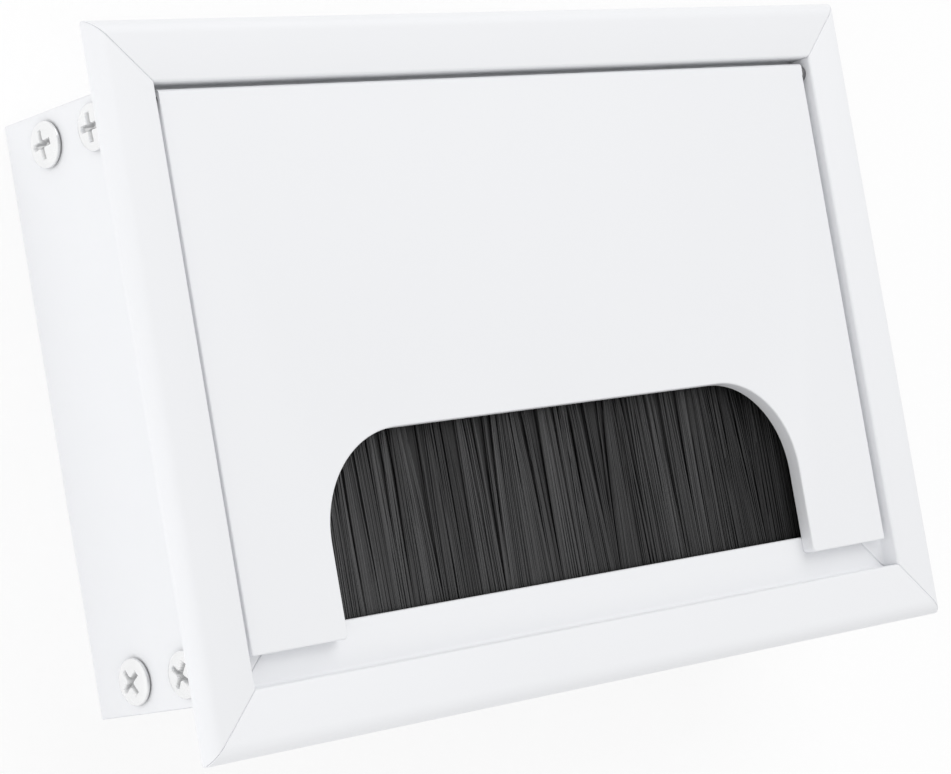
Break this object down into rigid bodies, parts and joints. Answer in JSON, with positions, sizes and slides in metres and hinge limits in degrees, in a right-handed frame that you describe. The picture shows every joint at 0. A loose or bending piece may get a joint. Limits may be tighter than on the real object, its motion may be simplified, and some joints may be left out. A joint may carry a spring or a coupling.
{
  "type": "cable grommet",
  "caption": "Rectangular desk cable grommet: mitred metal frame for a worktop cut-out, hinged flap lid with a rounded cable notch, and a brush strip behind the notch.",
  "frame": {"origin": "centre of the lower rim's plane, under the middle of the bezel", "axes": "+X along the long side, +Y towards the hinge side, +Z out of the desk top, square to the bezel face"},
  "size_m": [0.14, 0.095, 0.033],
  "materials": {
    "white_coat": "satin white powder coat on aluminium",
    "zinc_steel": "bright zinc plating",
    "bristle": "matt black nylon filaments"
  },
  "bodies": {
    "frame": {"front_rail": "white_coat", "rear_rail": "white_coat", "left_rail": "white_coat", "right_rail": "white_coat", "hinge_pin_left": "zinc_steel", "hinge_pin_right": "zinc_steel", "brush_channel": "zinc_steel", "brush_core_wire": "zinc_steel", "brush_bristles": "bristle", "frame_screws": "zinc_steel"},
    "lid": {"lid": "white_coat"}
  },
  "joints": [
    {"name": "lid_hinge", "type": "hinge", "parent": "frame", "child": "lid", "pos_m": [0, 0.03685, 0.0307], "axis": [-1, 0, 0], "range_deg": [0, 107]}
  ]
}
